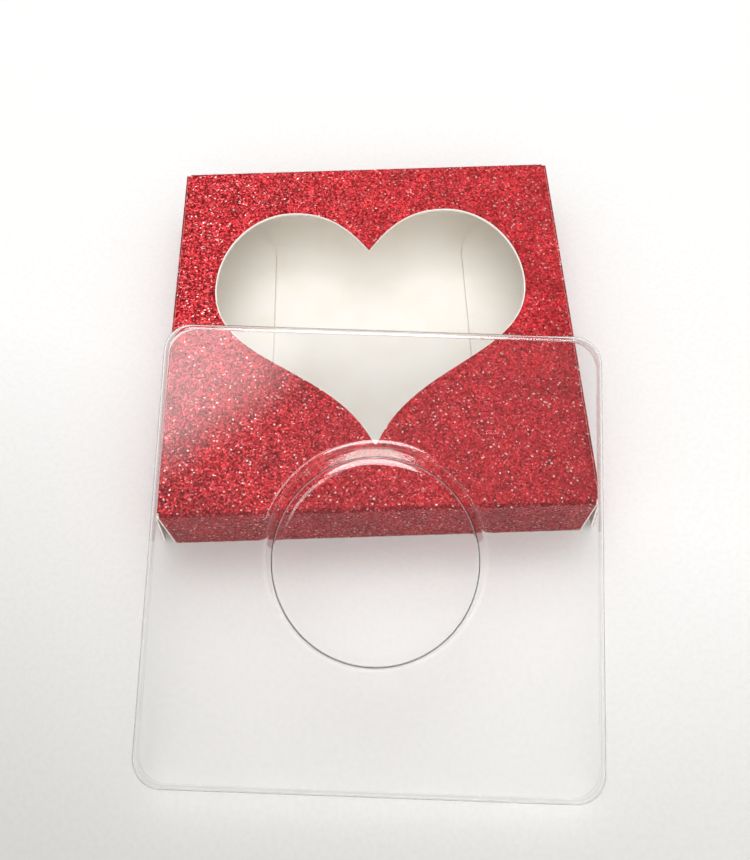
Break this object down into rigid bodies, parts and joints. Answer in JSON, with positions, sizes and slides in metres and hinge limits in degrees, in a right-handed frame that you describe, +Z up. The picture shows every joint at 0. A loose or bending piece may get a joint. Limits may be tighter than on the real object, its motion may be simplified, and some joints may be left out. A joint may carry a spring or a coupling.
{
  "type": "false eyelash case",
  "caption": "Square tuck end carton with a heart window, dust flaps and tuck flaps, and a clear formed lash tray with a round boss leaning on it.",
  "frame": {"origin": "centre of the carton's underside, where it stands on the table", "axes": "+Z up, +Y from the leaning tray to the carton's back wall, +X to the right-hand closure"},
  "size_m": [0.1002, 0.1556, 0.0352],
  "materials": {
    "glitter_card": "red glitter face, ivory inside",
    "ivory_card": "matt",
    "clear_pet": "clear gloss"
  },
  "bodies": {
    "carton_shell": {"top_panel": "glitter_card", "front_wall": "glitter_card", "back_wall": "glitter_card", "base_panel": "glitter_card", "glue_flap": "ivory_card"},
    "left_closure": {"left_closure": "glitter_card"},
    "left_tuck_flap": {"left_tuck_flap": "glitter_card"},
    "front_left_dust_flap": {"front_left_dust_flap": "glitter_card"},
    "back_left_dust_flap": {"back_left_dust_flap": "glitter_card"},
    "right_closure": {"right_closure": "glitter_card"},
    "right_tuck_flap": {"right_tuck_flap": "glitter_card"},
    "front_right_dust_flap": {"front_right_dust_flap": "glitter_card"},
    "back_right_dust_flap": {"back_right_dust_flap": "glitter_card"},
    "lash_tray": {"lash_tray": "clear_pet"}
  },
  "joints": [
    {"name": "left_closure_hinge", "type": "hinge", "parent": "carton_shell", "child": "left_closure", "pos_m": [-0.04777, 0, 0.01777], "axis": [0, 1, 0], "range_deg": [-7, 110], "deforming": ["left_tuck_flap"]},
    {"name": "left_tuck_crease", "type": "hinge", "parent": "left_closure", "child": "left_tuck_flap", "pos_m": [-0.04984, 0, 0.00095], "axis": [0, 1, 0], "range_deg": [-56, 4]},
    {"name": "front_left_dust_crease", "type": "hinge", "parent": "carton_shell", "child": "front_left_dust_flap", "pos_m": [-0.04723, -0.04852, 0.0095], "axis": [0, 0, 1], "range_deg": [-5.5, 84]},
    {"name": "back_left_dust_crease", "type": "hinge", "parent": "carton_shell", "child": "back_left_dust_flap", "pos_m": [-0.04723, 0.04852, 0.0095], "axis": [0, 0, -1], "range_deg": [-5.5, 84]},
    {"name": "right_closure_hinge", "type": "hinge", "parent": "carton_shell", "child": "right_closure", "pos_m": [0.04777, 0, 0.01777], "axis": [0, -1, 0], "range_deg": [-7, 110], "deforming": ["right_tuck_flap"]},
    {"name": "right_tuck_crease", "type": "hinge", "parent": "right_closure", "child": "right_tuck_flap", "pos_m": [0.04984, 0, 0.00095], "axis": [0, -1, 0], "range_deg": [-56, 4]},
    {"name": "front_right_dust_crease", "type": "hinge", "parent": "carton_shell", "child": "front_right_dust_flap", "pos_m": [0.04723, -0.04852, 0.0095], "axis": [0, 0, -1], "range_deg": [-5.5, 84]},
    {"name": "back_right_dust_crease", "type": "hinge", "parent": "carton_shell", "child": "back_right_dust_flap", "pos_m": [0.04723, 0.04852, 0.0095], "axis": [0, 0, 1], "range_deg": [-5.5, 84]},
    {"name": "tray_lift", "type": "slide", "parent": "carton_shell", "child": "lash_tray", "axis": [0, 0, 1], "range_m": [0, 0.06]}
  ],
  "couplings": [
    {"joint": "left_tuck_crease", "follows": "left_closure_hinge", "ratio": -0.5},
    {"joint": "front_left_dust_crease", "follows": "left_closure_hinge", "ratio": 0.75},
    {"joint": "back_left_dust_crease", "follows": "left_closure_hinge", "ratio": 0.75},
    {"joint": "right_tuck_crease", "follows": "right_closure_hinge", "ratio": -0.5},
    {"joint": "front_right_dust_crease", "follows": "right_closure_hinge", "ratio": 0.75},
    {"joint": "back_right_dust_crease", "follows": "right_closure_hinge", "ratio": 0.75}
  ]
}
